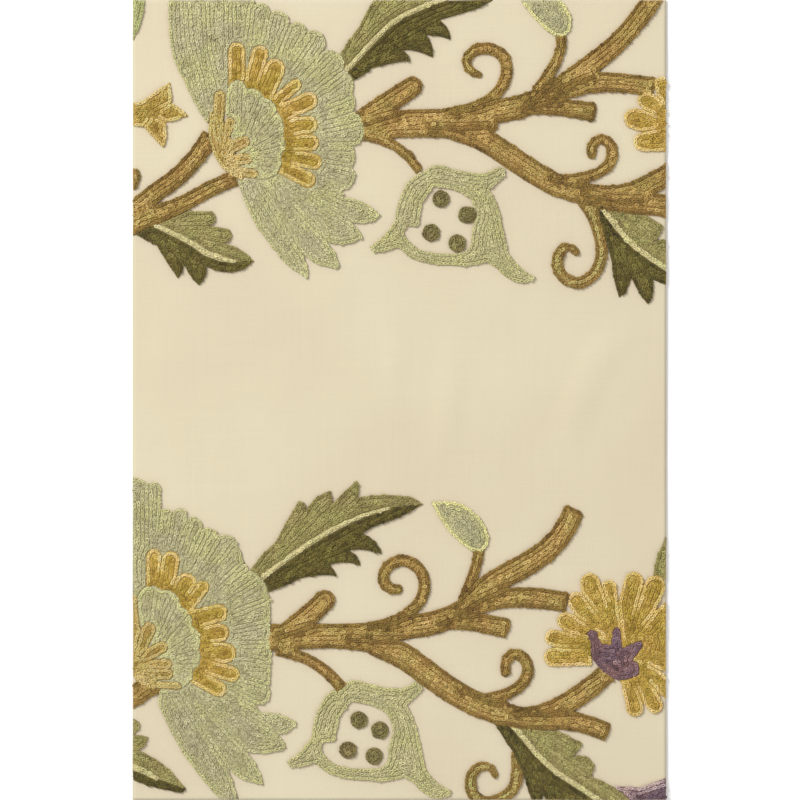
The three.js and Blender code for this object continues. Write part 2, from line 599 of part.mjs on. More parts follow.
workLeaf('leaf_low_left', LEAVES.leaf_low_left, ['left_stems_upper']);
workLeaf('leaf_top', LEAVES.leaf_top, ['fan_upper']);
workLeaf('leaf_middle', LEAVES.leaf_middle, ['fan_lower']);
workLeaf('leaf_corner', LEAVES.leaf_corner, []);

work('star_bud', [outlineOf(STAR_BUD)], 'gold');
EDGE_PIECES.forEach(({ name, colour, under, outline }) => {
  work(name, [outlineOf(outline)], colour, { under });
});

export default model;
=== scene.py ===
"""Crewel embroidered fabric: wool chain stitch worked over a length of plain cotton."""

import math
import random

import bmesh
import bpy
import numpy as np
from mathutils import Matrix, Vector, noise


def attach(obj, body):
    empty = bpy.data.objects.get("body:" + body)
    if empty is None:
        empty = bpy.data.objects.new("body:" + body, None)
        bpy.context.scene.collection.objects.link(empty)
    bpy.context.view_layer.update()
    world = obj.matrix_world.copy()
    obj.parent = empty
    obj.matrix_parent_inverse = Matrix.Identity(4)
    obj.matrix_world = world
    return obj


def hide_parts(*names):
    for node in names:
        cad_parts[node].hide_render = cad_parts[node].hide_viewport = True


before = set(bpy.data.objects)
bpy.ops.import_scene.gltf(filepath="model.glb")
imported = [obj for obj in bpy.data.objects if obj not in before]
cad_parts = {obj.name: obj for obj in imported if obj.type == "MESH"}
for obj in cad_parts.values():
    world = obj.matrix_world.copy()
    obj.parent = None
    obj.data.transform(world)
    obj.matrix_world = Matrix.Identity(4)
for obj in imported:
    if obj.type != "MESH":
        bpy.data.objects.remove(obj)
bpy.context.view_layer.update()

MM = 0.001
SEED = 11
chance = random.Random(SEED)

# The photograph's frame, in pixels, and its scale
FRAME_PIXELS = 800
CENTRE_PIXEL = (399.5, 400.0)
MM_PER_PIXEL = 0.6

# The cloth, in millimetres
CLOTH_WIDTH = 320.0
CLOTH_LENGTH = 480.0
CLOTH_THICKNESS = 1.2
CLOTH_CELL = 2.0
CUT_EDGE_SLACK = 0.05

# One chain stitch, in millimetres: a loop of yarn that is widest and highest at its head
LOOP_LENGTH = 2.9
LOOP_WIDTH = 1.66
LOOP_RISE = 0.32
YARN_RADIUS = 0.47
STITCH_HEIGHT = CLOTH_THICKNESS + 1.1
STITCH_JITTER = 0.28
LOOP_STEPS = 8
YARN_SIDES = 4
MIDDLE_WIDTH = 0.64
HEAD_WIDENING = 0.46
UNEVENNESS = 0.24
SWAY = (0.9, 0.5, 0.9)

# Rows of stitches, in millimetres
ROW_PITCH = 2.5
STITCH_SPACING = 2.4
CROWDED = 1.6
BARE_SPOT = 1.7
BARE_RIM = 0.9
EDGE_INSET = 1.6
RIB_LEVELS = (0.9, 0.75, 0.6, 0.45, 0.3)
NEIGHBOUR_CELLS = [np.array((x, y)) for x in (-1, 0, 1) for y in (-1, 0, 1)]

# The fine grid on which rows are found: its step in millimetres, and how far a stitch reaches in steps
FIELD_STEP = 0.4
REACH = 8

# Seams from the notches between petals: how sharp a notch is, step in millimetres, share of the way
NOTCH_TURN = math.radians(38)
SEAM_STEP = 0.6
SEAM_SHARE = 0.92

# The low bed of wool under the stitches, in millimetres, and its tone
BED_TOP = CLOTH_THICKNESS + 0.8
BED_FOOT = CLOTH_THICKNESS + 0.05
BED_OUTSET = 0.08
BED_INSET = 0.4
# The bed carries no height mark, so the wool material gives it the darkest painted shade
BED_TONE = 0.42
BESIDE = 0.8

# Random shares of tone: for each row, and for each stitch of the outline row and of the others
ROW_SPECKLE = 0.05
SPECKLE = (0.1, 0.17)
LAYER_STEP = 3.7

# Soft unevenness of cloth and wool: how much, over what length in millimetres, in which layer of noise
UNEVEN = {
    "slack": {"amount": 0.22, "length": 46, "layer": 1},
    "ripple": {"amount": 0.1, "length": 15, "layer": 2},
    "pucker": {"amount": 0.22, "length": 5, "layer": 5},
    "lie": {"amount": 0.12, "length": 9, "layer": 3},
    "cloud": {"amount": 0.14, "length": 16, "layer": 0},
    "streak": {"amount": 0.18, "length": 4, "layer": 7},
    "patch": {"amount": 0.8, "length": 11, "layer": 31},
}

# How far the stitching's pull reaches into bare cloth: rounds of softening, and gain
PULL_ROUNDS = 6
PULL_GAIN = 1.6

# Finishes, as the shader's own values, how fine each grain is, the darkest and lightest share of the
# colour that it gives, strength and depth of relief, and the colours of the cotton and floor
WOOL_FINISH = {"Roughness": 0.95, "Specular IOR Level": 0.15, "Sheen Weight": 0.12, "Sheen Roughness": 0.6}
COTTON_FINISH = {"Roughness": 0.92, "Specular IOR Level": 0.2, "Sheen Weight": 0.1}
FLOOR_FINISH = {"Roughness": 0.8}
FIBRE_SCALE = 1050
FIBRE_FLECKS = (0.6, 1.36)
# Painted shade: the wool colour's share at the lowest and at the highest point of the yarn
PAINTED_SHADE_BY_HEIGHT = (0.82, 1.04)
FIBRE_RELIEF = (0.5, 0.15 * MM)
STAIN_SCALE = 9
THREAD_SCALE = 900
SLUB_SCALE = 14
SPECK_SCALE = 1500
THREAD_SHADES = (0.98, 1.01)
SPECK_SHADES = (0.97, 1.02)
SPECK_IN_WEAVE = 1.2
WEAVE_RELIEF = (0.22, 0.12 * MM)
COTTON_LIGHT = (212, 202, 173)
COTTON_DULL = (208, 195, 167)
COTTON_NEAR_WOOL = (205, 188, 164)
FLOOR_COLOUR = (250, 250, 250)

# Camera, floor and lamps, in metres and watts
CAMERA_HEIGHT = 2.0
SENSOR_WIDTH = 36
FLOOR_HEIGHT = -0.0004
FLOOR_REACH = 3
ROOM_LIGHT = 0.5
LAMPS = {
    "key_light": {"position": (-2.2, 1.9, 2.7), "size": 1.6, "power": 138},
    "fill_light": {"position": (2.2, -1.8, 2.8), "size": 2.8, "power": 36},
}

# Soft raised creases in the bare middle: line in photo pixels, height and half width in mm
CREASES = [
    {"line": [(638, 322), (592, 374), (562, 462)], "height": 1.0, "half": 16},
    {"line": [(456, 310), (450, 400), (434, 478)], "height": 0.6, "half": 13},
    {"line": [(399, 304), (395, 360), (396, 412)], "height": 0.4, "half": 12},
]

# What each worked piece is: its wool, the heart that its petals or lobes grow from, in photo pixels,
# the pieces that its rows run up to, and the pieces beside which it has no outline of its own
MOTIFS = {
    "dome_upper": {"wool": "dome"},
    "dome_lower": {"wool": "dome"},
    "calyx_upper": {"wool": "calyx", "heart": (222, 160)},
    "calyx_lower": {"wool": "calyx", "heart": (132, 668)},
    "bud_upper": {"wool": "bud"},
    "bud_lower": {"wool": "bud"},
    "pod_upper": {"wool": "pod"},
    "pod_lower": {"wool": "pod"},
    "yellow_flower_upper": {"wool": "yellow", "heart": (680, 125)},
    "yellow_flower_lower": {"wool": "yellow", "heart": (624, 652), "quiet": ["purple_calyx"]},
    "purple_calyx": {"wool": "purple"},
    "flower_bottom_corner": {"wool": "lilac"},
    "star_bud": {"wool": "star", "heart": (152, 115)},
    "branches_upper": {"wool": "branch", "ends": ["fan_upper", "bud_upper", "yellow_flower_upper"]},
    "branches_lower": {
        "wool": "branch",
        "ends": ["fan_lower", "bud_lower", "yellow_flower_lower", "purple_calyx"],
    },
    "left_stems_upper": {"wool": "branch", "ends": ["calyx_upper", "fan_upper"]},
    "left_stem_lower": {"wool": "branch", "ends": ["calyx_lower", "fan_lower"]},
    "twig_left_edge": {"wool": "branch"},
    "long_curl_upper": {"wool": "curl", "ends": ["branches_upper"]},
    "long_curl_lower": {"wool": "curl", "ends": ["branches_lower"]},
    "leaf_top_corner": {"wool": "green"},
    "leaf_right_edge": {"wool": "leaf_light"},
}
FAN_HEARTS = {"upper": (238, 148), "lower": (150, 648)}
for repeat, heart in FAN_HEARTS.items():
    inner = [f"calyx_{repeat}", f"dome_{repeat}"]
    MOTIFS[f"gold_petals_{repeat}"] = {"wool": "gold", "heart": heart, "quiet": inner}
    MOTIFS[f"fan_{repeat}"] = {"wool": "fan", "heart": heart, "quiet": [f"gold_petals_{repeat}", *inner]}
LEAF_BASES = {
    "leaf_low_left": (140, 226),
    "leaf_top": (330, 82),
    "leaf_right_upper": (594, 196),
    "leaf_right_lower": (500, 712),
    "leaf_middle": (244, 592),
    "leaf_corner": (100, 764),
}
for leaf, base in LEAF_BASES.items():
    MOTIFS[f"{leaf}_rib"] = {"wool": "rib"}
    MOTIFS[f"{leaf}_light"] = {"wool": "leaf_light", "heart": base}
    MOTIFS[f"{leaf}_dark"] = {"wool": "leaf_dark", "heart": base}
for repeat in ("upper", "lower"):
    for seed in (1, 2, 3, 4):
        MOTIFS[f"seed_{repeat}_{seed}"] = {"wool": "seed"}

# Lines inside a piece where two runs of rows meet, in photo pixels
SEAMS = {
    "fan_upper": [
        [(187, -4), (190, 40), (211, 122)],
        [(205, -4), (208, 50), (222, 110)],
        [(228, -4), (229, 40)],
    ],
    "branches_upper": [
        [(488, 126), (462, 127), (430, 126)],
        [(499, 98), (478, 106), (452, 112)],
        [(567, 98), (548, 101), (525, 108)],
        [(592, 76), (572, 84), (548, 98)],
        [(558, 78), (545, 88), (528, 101)],
        [(592, 185), (575, 184), (552, 178)],
        [(640, 199), (615, 199), (585, 194)],
        [(398, 113), (380, 118), (362, 124)],
    ],
    "branches_lower": [
        [(402, 640), (380, 640), (350, 638)],
        [(416, 613), (395, 621), (369, 627)],
        [(483, 613), (462, 615), (440, 622)],
        [(504, 588), (484, 597), (460, 611)],
        [(478, 579), (466, 592), (450, 606)],
        [(502, 699), (485, 697), (462, 690)],
        [(575, 712), (550, 713), (515, 712)],
        [(312, 625), (295, 630), (278, 636)],
    ],
}

# Radial lines between lobes: heart in photo pixels, reach in pixels, turns in degrees
SPOKES = {
    "fan_upper": {"heart": (238, 148), "inner": 74, "outer": 132, "turns": list(range(78, -30, -11))},
    "fan_lower": {"heart": (150, 648), "inner": 84, "outer": 142, "turns": list(range(72, -30, -10))},
    "dome_upper": {"heart": (236, 158), "inner": 14, "outer": 80, "turns": [88, 68, 48, 31, 15, 0, -16, -34]},
    "dome_lower": {"heart": (146, 664), "inner": 18, "outer": 84, "turns": [84, 66, 49, 33, 16, 0, -18]},
}

# Each wool: its tones from dark to light, and the tone of each row counted in from the outline
WOOLS = {
    "branch": {
        "tones": [
            (0.0, (101, 75, 30)),
            (0.35, (151, 122, 60)),
            (0.7, (187, 158, 92)),
            (1.0, (216, 191, 126)),
        ],
        "rows": [0.25, 0.57, 0.7, 0.66, 0.66],
        "tints": [(1.05, 0.97, 0.94), (0.96, 1.03, 0.92)],
        "shown": {"share": 1.0, "shift": 1.25},
    },
    "curl": {
        "tones": [
            (0.0, (110, 86, 39)),
            (0.35, (154, 126, 65)),
            (0.7, (181, 162, 97)),
            (1.0, (201, 190, 123)),
        ],
        "rows": [0.25, 0.65, 0.66],
        "tints": [(1.05, 0.97, 0.94), (0.94, 1.02, 0.94)],
    },
    "fan": {
        "tones": [
            (0.0, (146, 137, 97)),
            (0.35, (184, 177, 130)),
            (0.7, (204, 198, 150)),
            (1.0, (222, 215, 171)),
        ],
        "rows": [0.64, 0.5, 0.44, 0.48, 0.5],
        "tints": [(0.99, 0.98, 1.1), (0.99, 1.01, 0.9)],
        "leans": [0.85, 0.55, 0.3, 0.35, 0.45],
        "shown": {"share": 0.5},
    },
    "dome": {
        "tones": [
            (0.0, (147, 139, 96)),
            (0.35, (189, 181, 132)),
            (0.7, (208, 204, 150)),
            (1.0, (227, 220, 169)),
        ],
        "rows": [0.65, 0.42, 0.4, 0.42, 0.4],
        "tints": [(0.99, 0.98, 1.12), (0.99, 1.01, 0.9)],
        "leans": [0.8, 0.4, 0.3, 0.3, 0.4],
    },
    "gold": {
        "tones": [
            (0.0, (144, 114, 32)),
            (0.35, (190, 160, 69)),
            (0.7, (215, 188, 111)),
            (1.0, (231, 210, 152)),
        ],
        "rows": [0.85, 0.34, 0.25],
        "tints": [(1.03, 0.98, 1.0), (0.97, 1.02, 0.9)],
        "shown": {"share": 0.3},
    },
    "calyx": {
        "tones": [
            (0.0, (138, 109, 47)),
            (0.35, (175, 148, 75)),
            (0.7, (198, 174, 106)),
            (1.0, (209, 191, 129)),
        ],
        "rows": [0.85, 0.5, 0.35, 0.3],
        "tints": [(1.03, 0.98, 1.0), (0.97, 1.02, 0.92)],
        "shown": {"share": 0.6},
    },
    "bud": {
        "tones": [
            (0.0, (150, 146, 108)),
            (0.35, (189, 183, 134)),
            (0.7, (209, 203, 146)),
            (1.0, (226, 219, 158)),
        ],
        "rows": [0.86, 0.4, 0.35, 0.3, 0.35],
        "tints": [(0.99, 0.98, 1.1), (1.0, 1.01, 0.94)],
        "leans": [0.9, 0.45, 0.15, 0.1, 0.2],
    },
    "pod": {
        "tones": [
            (0.0, (153, 144, 101)),
            (0.35, (187, 180, 128)),
            (0.7, (205, 198, 144)),
            (1.0, (220, 214, 160)),
        ],
        "rows": [0.55, 0.5, 0.55, 0.55],
        "tints": [(0.99, 0.98, 1.1), (0.99, 1.01, 0.93)],
        "leans": [0.7, 0.5, 0.4, 0.4],
    },
    "seed": {
        "tones": [
            (0.0, (83, 73, 39)),
            (0.5, (135, 122, 74)),
            (1.0, (184, 171, 116)),
        ],
        "rows": [0.46, 0.5, 0.5],
        "tints": [(1.03, 0.98, 1.0), (0.96, 1.03, 0.92)],
    },
    "leaf_light": {
        "tones": [
            (0.0, (109, 96, 52)),
            (0.4, (160, 149, 92)),
            (0.75, (181, 172, 112)),
            (1.0, (203, 193, 136)),
        ],
        "rows": [0.35, 0.5, 0.55, 0.5],
        "tints": [(1.03, 0.98, 1.02), (0.96, 1.03, 0.9)],
    },
    "leaf_dark": {
        "tones": [
            (0.0, (60, 50, 14)),
            (0.4, (108, 97, 42)),
            (0.75, (142, 131, 68)),
            (1.0, (180, 170, 104)),
        ],
        "rows": [0.25, 0.4, 0.45, 0.4],
        "tints": [(1.04, 0.98, 0.98), (0.95, 1.02, 0.9)],
    },
    "rib": {
        "tones": [
            (0.0, (176, 164, 110)),
            (0.5, (212, 202, 148)),
            (1.0, (232, 224, 178)),
        ],
        "rows": [0.5],
        "tints": [(1.02, 0.98, 1.0), (0.97, 1.02, 0.92)],
        "single_row": True,
    },
    "yellow": {
        "tones": [
            (0.0, (141, 114, 30)),
            (0.35, (188, 158, 67)),
            (0.7, (214, 185, 107)),
            (1.0, (231, 207, 144)),
        ],
        "rows": [0.86, 0.38, 0.32, 0.34],
        "tints": [(1.03, 0.97, 1.0), (0.96, 1.02, 0.88)],
        "shown": {"share": 0.4},
    },
    "star": {
        "tones": [
            (0.0, (145, 114, 41)),
            (0.35, (186, 158, 75)),
            (0.7, (211, 186, 114)),
            (1.0, (224, 205, 145)),
        ],
        "rows": [0.8, 0.4, 0.3],
        "tints": [(1.03, 0.98, 1.0), (0.97, 1.02, 0.92)],
        "shown": {"share": 0.5},
    },
    "purple": {
        "tones": [
            (0.0, (54, 32, 44)),
            (0.4, (122, 94, 96)),
            (0.75, (164, 134, 130)),
            (1.0, (216, 188, 180)),
        ],
        "rows": [0.4, 0.48, 0.4, 0.5],
        "tints": [(1.1, 0.97, 0.88), (0.94, 0.97, 1.18)],
    },
    "lilac": {
        "tones": [
            (0.0, (81, 59, 64)),
            (0.4, (124, 100, 105)),
            (0.75, (172, 148, 147)),
            (1.0, (202, 181, 172)),
        ],
        "rows": [0.95, 0.72, 0.25, 0.2],
        "tints": [(1.06, 0.98, 0.94), (0.96, 0.98, 1.12)],
    },
    "green": {
        "tones": [
            (0.0, (124, 124, 76)),
            (0.4, (176, 178, 120)),
            (0.75, (198, 200, 142)),
            (1.0, (214, 216, 160)),
        ],
        "rows": [0.4, 0.5, 0.6],
        "tints": [(1.03, 0.98, 1.02), (0.95, 1.03, 0.9)],
    },
}


def place(pixel):
    """A place in the photograph as millimetres on the cloth."""
    across = pixel[0] - CENTRE_PIXEL[0]
    up = CENTRE_PIXEL[1] - pixel[1]
    return np.array((across * MM_PER_PIXEL, up * MM_PER_PIXEL))


def linear(rgb):
    """A colour given as 0 to 255, as the renderer's linear colour."""
    shares = [channel / 255 for channel in rgb]
    return tuple(s / 12.92 if s <= 0.04045 else ((s + 0.055) / 1.055) ** 2.4 for s in shares) + (1.0,)


def uneven(kind, x, y, shift=0):
    """A soft random amount at a place on the cloth, up or down."""
    wave = UNEVEN[kind]
    spot = Vector((x / wave["length"], y / wave["length"], wave["layer"] + shift))
    return wave["amount"] * noise.noise(spot)


def new_object(name, data):
    """An object in the scene, at the origin and unturned."""
    piece = bpy.data.objects.new(name, data)
    bpy.context.collection.objects.link(piece)
    return piece


def outline_of(node):
    """The outline of a node's top face, as segments in millimetres with the inside on their left."""
    mesh = bmesh.new()
    mesh.from_mesh(bpy.data.objects[node].data)
    bmesh.ops.remove_doubles(mesh, verts=mesh.verts, dist=1e-6)
    high = max(v.co.z for v in mesh.verts) - 1e-4
    mesh.faces.index_update()
    top = [face for face in mesh.faces if all(v.co.z > high for v in face.verts)]
    top_indices = {face.index for face in top}
    segments = []
    for face in top:
        for loop in face.loops:
            if not all(other.index in top_indices for other in loop.edge.link_faces):
                start, end = loop.vert.co, loop.link_loop_next.vert.co
                segments.append(((start.x / MM, start.y / MM), (end.x / MM, end.y / MM)))
    mesh.free()
    return np.array(segments)


def inside(points, outline):
    """Which points lie inside an outline of segments."""
    crossings = np.zeros(len(points), dtype=int)
    for (ax, ay), (bx, by) in outline:
        if ay == by:
            continue
        spans = (points[:, 1] >= min(ay, by)) & (points[:, 1] < max(ay, by))
        at_x = ax + (points[:, 1] - ay) * (bx - ax) / (by - ay)
        crossings += spans & (at_x > points[:, 0])
    return crossings % 2 == 1


def distance(points, segments):
    """Distance from each point to the nearest of the segments."""
    nearest = np.full(len(points), 1e6)
    for start, end in segments:
        along = end - start
        share = np.clip((points - start) @ along / max(along @ along, 1e-9), 0, 1)
        gap = points - start - share[:, None] * along
        nearest = np.minimum(nearest, np.hypot(gap[:, 0], gap[:, 1]))
    return nearest


def on_cut_edge(segment):
    """True for a side of a motif that the cloth's cut edge makes."""
    limit = np.array((CLOTH_WIDTH / 2, CLOTH_LENGTH / 2)) - CUT_EDGE_SLACK
    return any(all(abs(point[axis]) > limit[axis] for point in segment) for axis in (0, 1))


def without(borders, neighbours, outlines):
    """The sides of a piece that don't lie against any of the named neighbours."""
    for neighbour in neighbours:
        away = distance(np.array([segment.mean(axis=0) for segment in borders]), outlines[neighbour])
        borders = [segment for segment, gap in zip(borders, away) if gap > BESIDE]
    return borders


def nearby_sides(node, outlines):
    """The sides of every other piece that come near a piece."""
    low = outlines[node].min(axis=(0, 1)) - BESIDE
    high = outlines[node].max(axis=(0, 1)) + BESIDE
    sides = np.concatenate([outline for name, outline in outlines.items() if name != node])
    return sides[((sides.max(axis=1) > low) & (sides.min(axis=1) < high)).all(axis=1)]


def shown_parts(seams, share, shift=0.0):
    """The outer parts of seams that are worked in the outline's tone, moved aside where asked."""
    parts = []
    for start, end in seams:
        way = end - start
        aside = np.array((-way[1], way[0])) / max(np.hypot(*way), 1e-9) * shift
        parts.append((start + aside, start + way * share + aside))
    return parts


def spokes(heart, inner, outer, turns):
    """Radial lines from near the heart of a flower out past its lobes."""
    lines = []
    for turn in turns:
        way = np.array((math.cos(math.radians(turn)), math.sin(math.radians(turn)))) * MM_PER_PIXEL
        lines.append((place(heart) + outer * way, place(heart) + inner * way))
    return lines


def petal_seams(outline, heart):
    """Lines from each notch of the outline towards the heart of the flower."""
    leaving = {tuple(np.round(start, 3)): end - start for start, end in outline}
    seams = []
    for start, end in outline:
        after = leaving.get(tuple(np.round(end, 3)))
        if after is None:
            continue
        before = end - start
        turn = math.atan2(before[0] * after[1] - before[1] * after[0], before @ after)
        if turn > -NOTCH_TURN:
            continue
        way = heart - end
        reach = np.arange(SEAM_STEP, np.hypot(*way) * SEAM_SHARE, SEAM_STEP)
        if len(reach) < 2:
            continue
        line = end + reach[:, None] * way / np.hypot(*way)
        outside = np.flatnonzero(~inside(line, outline))
        length = outside[0] if len(outside) else len(line)
        if length > 2:
            seams.append((end, line[length - 1]))
    return seams


def level_lines(field, columns, rows, level):
    """Lines along which the field has one value, each as points in order."""
    above = field > level
    corners = [above[:-1, :-1], above[:-1, 1:], above[1:, 1:], above[1:, :-1]]
    mixed = np.argwhere((sum(c.astype(int) for c in corners) % 4) > 0)
    neighbours = {}
    places = {}

    def crossing(row, column, side):
        """Notes where the level crosses one side of a cell."""
        key = (row, column, side)
        if key not in places:
            next_row, next_column = (row, column + 1) if side == "x" else (row + 1, column)
            here, there = field[row, column], field[next_row, next_column]
            share = (level - here) / (there - here)
            places[key] = (
                columns[column] + share * (columns[next_column] - columns[column]),
                rows[row] + share * (rows[next_row] - rows[row]),
            )
        return key

    for row, column in mixed:
        sides = [(row, column, "x"), (row, column + 1, "y"), (row + 1, column, "x"), (row, column, "y")]
        found = []
        for r, c, side in sides:
            other = above[r, c + 1] if side == "x" else above[r + 1, c]
            if above[r, c] != other:
                found.append(crossing(r, c, side))
        for first, second in zip(found[::2], found[1::2]):
            neighbours.setdefault(first, []).append(second)
            neighbours.setdefault(second, []).append(first)
    return [np.array([places[key] for key in chain]) for chain in chains(neighbours)]


def chains(neighbours):
    """Linked keys put in order, from an open end where there is one, and closed where they meet."""
    found = []
    used = set()
    for start in sorted(neighbours, key=lambda key: (len(neighbours[key]), key)):
        if start in used:
            continue
        chain = [start]
        used.add(start)
        while True:
            onward = [key for key in neighbours[chain[-1]] if key not in used]
            if not onward:
                break
            used.add(onward[0])
            chain.append(onward[0])
        closed = len(chain) > 3 and start in neighbours[chain[-1]]
        found.append(chain + [start] if closed else chain)
    return found


def spaced(line, spacing):
    """Places and directions at an even spacing along a line."""
    steps = np.hypot(*np.diff(line, axis=0).T)
    reached = np.concatenate(([0], np.cumsum(steps)))
    count = int(round(reached[-1] / spacing))
    if count < 1:
        return np.empty((0, 2)), np.empty((0, 2))
    at = (np.arange(count) + 0.5) * reached[-1] / count

    def along(distances):
        """Places at some distances along the line."""
        return np.column_stack([np.interp(distances, reached, line[:, axis]) for axis in (0, 1)])

    way = along(at + 0.5) - along(at - 0.5)
    return along(at), way / np.maximum(np.hypot(way[:, 0], way[:, 1]), 1e-9)[:, None]


def sides_and_seams(name, outlines):
    """The sides that rows run along, the seams between rows, and all that shows in the outline's tone."""
    motif = MOTIFS[name]
    borders = [segment for segment in outlines[name] if not on_cut_edge(segment)]
    borders = without(borders, motif.get("ends", []), outlines)
    edges = without(borders, motif.get("quiet", []), outlines)
    heart = motif.get("heart")
    seams = petal_seams(outlines[name], place(heart)) if heart else []
    if name in SPOKES:
        seams += spokes(**SPOKES[name])
    for line in SEAMS.get(name, []):
        points = [place(pixel) for pixel in line]
        seams += list(zip(points, points[1:]))
    shown = WOOLS[motif["wool"]].get("shown")
    if shown:
        edges = edges + shown_parts(seams, **shown)
    return borders, seams, edges


class Rows:
    """Rows of chain stitch over one piece, with a fine grid that knows what is still bare."""

    def __init__(self, outline, borders, seams):
        limit = np.array((CLOTH_WIDTH / 2, CLOTH_LENGTH / 2)) - EDGE_INSET
        self.low = np.maximum(outline.min(axis=(0, 1)) - FIELD_STEP, -limit)
        high = np.minimum(outline.max(axis=(0, 1)) + FIELD_STEP, limit)
        self.xs = np.arange(self.low[0], high[0] + FIELD_STEP / 2, FIELD_STEP)
        self.ys = np.arange(self.low[1], high[1] + FIELD_STEP / 2, FIELD_STEP)
        shape = (len(self.ys), len(self.xs))
        grid = np.column_stack([axis.ravel() for axis in np.meshgrid(self.xs, self.ys)])
        within = inside(grid, outline)
        depth = distance(grid, borders + seams)
        self.depth = np.where(within, depth, -depth).reshape(shape)
        open_wool = within & (distance(grid, borders) > BARE_RIM)
        self.gap = np.where(open_wool, 1e3, 0).reshape(shape)
        self.places = []
        self.ways = []
        self.cells = {}

    def take(self, point, way):
        """Adds a stitch, and notes how near it is to the grid's points round it."""
        self.places.append(point)
        self.ways.append(way)
        self.cells.setdefault((point // CROWDED).astype(int).tobytes(), []).append(point)
        column, line = ((point - self.low) / FIELD_STEP).astype(int)
        down, across = [slice(max(0, at - REACH), at + REACH + 1) for at in (line, column)]
        away = np.hypot(self.xs[across][None, :] - point[0], self.ys[down][:, None] - point[1])
        self.gap[down, across] = np.minimum(self.gap[down, across], away)

    def crowded(self, point):
        """True if another stitch lies too near."""
        home = (point // CROWDED).astype(int)
        for shift in NEIGHBOUR_CELLS:
            for other in self.cells.get((home + shift).tobytes(), []):
                if math.hypot(other[0] - point[0], other[1] - point[1]) < CROWDED:
                    return True
        return False

    def work(self, levels):
        """Works a row along each level of depth, and leaves out the stitches that would crowd."""
        for level in levels:
            for line in level_lines(self.depth, self.xs, self.ys, level):
                for point, way in zip(*spaced(line, STITCH_SPACING)):
                    if not self.crowded(point):
                        self.take(point, way)

    def fill(self):
        """Puts a stitch on every bare spot, turned as the stitch nearest to it."""
        while self.gap.max() > BARE_SPOT:
            line, column = np.unravel_index(self.gap.argmax(), self.gap.shape)
            spot = np.array((self.xs[column], self.ys[line]))
            way = np.array((1.0, 0.0))
            if self.places:
                way = self.ways[int(np.hypot(*(np.array(self.places) - spot).T).argmin())]
            self.take(spot, way)


def stitches_for(name, outlines):
    """Chain stitches that fill one piece in rows: place, direction and row of each."""
    borders, seams, edges = sides_and_seams(name, outlines)
    worked = Rows(outlines[name], borders, seams)
    deepest = worked.depth.max()
    if WOOLS[MOTIFS[name]["wool"]].get("single_row"):
        worked.work([share * deepest for share in RIB_LEVELS])
    else:
        worked.work(np.arange(0.5, deepest / ROW_PITCH, 1) * ROW_PITCH)
    worked.fill()
    places = np.array(worked.places)
    from_edge = distance(places, edges) if edges else np.full(len(places), ROW_PITCH)
    return places, np.array(worked.ways), (from_edge / ROW_PITCH).astype(int)


def tone_at(wool, point, row, speckle, layer):
    """How light one stitch is, from 0 to 1, by its row, its place and its own random share."""
    rows = WOOLS[wool]["rows"]
    tone = rows[min(row, len(rows) - 1)] + uneven("cloud", *point, layer) + uneven("streak", *point, layer)
    return min(1, max(0, tone + speckle))


def tint_at(wool, point, row, layer):
    """Which of its wool's two tints a stitch leans to, from 0 to 1, by its row and in soft patches."""
    leans = WOOLS[wool].get("leans", [0.5])
    return min(1, max(0, leans[min(row, len(leans) - 1)] + uneven("patch", *point, layer)))


def points_mesh(name, places, ways, tones, tints):
    """A mesh of loose points, one for each stitch, that carries its direction, tone and tint."""
    mesh = bpy.data.meshes.new(name)
    shaken = []
    for x, y in places:
        height = STITCH_HEIGHT + uneven("lie", x, y)
        aside_x = chance.uniform(-STITCH_JITTER, STITCH_JITTER)
        aside_y = chance.uniform(-STITCH_JITTER, STITCH_JITTER)
        shaken.append(((x + aside_x) * MM, (y + aside_y) * MM, height * MM))
    mesh.from_pydata(shaken, [], [])
    along = mesh.attributes.new("along", "FLOAT_VECTOR", "POINT")
    along.data.foreach_set("vector", [v for way in ways for v in (way[0], way[1], 0)])
    for label, values in (("tone", tones), ("tint", tints)):
        attribute = mesh.attributes.new(label, "FLOAT", "POINT")
        attribute.data.foreach_set("value", values)
    return mesh


def bed_mesh(node, neighbours):
    """The low bed of wool under a piece's stitches: out to its neighbours, drawn in at bare cloth."""
    mesh = bmesh.new()
    mesh.from_mesh(bpy.data.objects[node].data)
    bmesh.ops.remove_doubles(mesh, verts=mesh.verts, dist=1e-6)
    middle = (min(v.co.z for v in mesh.verts) + max(v.co.z for v in mesh.verts)) / 2
    spots = np.array([(v.co.x / MM, v.co.y / MM) for v in mesh.verts])
    shares = np.where(distance(spots, neighbours) < BESIDE, BED_OUTSET, -BED_INSET)
    moves = []
    for vertex, share in zip(mesh.verts, shares):
        outward = Vector((0, 0, 0))
        for face in vertex.link_faces:
            if abs(face.normal.z) < 0.5:
                outward += face.normal
        moves.append(outward.normalized() * share * MM if outward.length > 1e-6 else outward)
    for vertex, move in zip(mesh.verts, moves):
        vertex.co += move
        vertex.co.z = (BED_TOP if vertex.co.z > middle else BED_FOOT) * MM
    result = bpy.data.meshes.new(f"{node}_bed")
    mesh.to_mesh(result)
    mesh.free()
    tones = result.attributes.new("tone", "FLOAT", "POINT")
    tones.data.foreach_set("value", [BED_TONE] * len(result.vertices))
    return result


